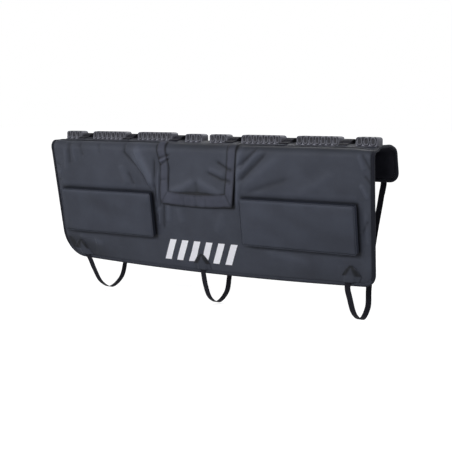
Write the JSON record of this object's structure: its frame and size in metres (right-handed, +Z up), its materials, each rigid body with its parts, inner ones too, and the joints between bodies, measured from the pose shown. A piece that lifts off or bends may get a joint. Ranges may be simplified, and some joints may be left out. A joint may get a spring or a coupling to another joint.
{
  "type": "rear door protector",
  "caption": "Padded cover folded over a pickup's rear door edge, with rubber frame blocks, straps, impact panels and an access flap.",
  "frame": {"origin": "middle of the flat seat under the crown, where the lining rests on the door's top edge", "axes": "+X along the door, the long front panel faces -Y, the short back flap faces +Y, +Z is up"},
  "size_m": [1.6094, 0.2306, 0.7249],
  "materials": {
    "cover_fabric": "coated polyester tarpaulin, soft satin",
    "panel_fabric": "coated polyester tarpaulin, soft satin",
    "hem": "coated polyester tarpaulin, stitched",
    "binding": "folded woven edge tape",
    "strip_fabric": "coated polyester, stitched down",
    "lining": "brushed black fleece",
    "foam": "closed-cell foam sheet",
    "webbing": "flat woven polypropylene",
    "block_rubber": "moulded, satin",
    "hook_and_loop": "hook and loop tape"
  },
  "bodies": {
    "root": {"outer_cover": "cover_fabric", "foam_padding": "foam", "inner_lining": "lining", "edge_binding": "binding", "left_impact_panel": "panel_fabric", "right_impact_panel": "panel_fabric", "centre_flap": "cover_fabric", "flap_hem_band": "hem", "flap_hook_tape": "hook_and_loop", "flap_loop_tape": "hook_and_loop", "bumper_base_strip": "strip_fabric", "bumper_block_1": "block_rubber", "bumper_block_2": "block_rubber", "bumper_block_3": "block_rubber", "bumper_block_4": "block_rubber", "bumper_block_5": "block_rubber", "bumper_block_6": "block_rubber", "bumper_block_7": "block_rubber", "bumper_block_8": "block_rubber", "frame_strap_1": "webbing", "frame_strap_2": "webbing", "frame_strap_3": "webbing", "frame_strap_4": "webbing", "frame_strap_5": "webbing", "frame_strap_6": "webbing", "lower_strap_left": "webbing", "rear_tab_left": "webbing", "strap_outlet_left": "hem", "lower_strap_centre": "webbing", "rear_tab_centre": "webbing", "strap_outlet_centre": "hem", "lower_strap_right": "webbing", "rear_tab_right": "webbing", "strap_outlet_right": "hem"}
  },
  "joints": []
}
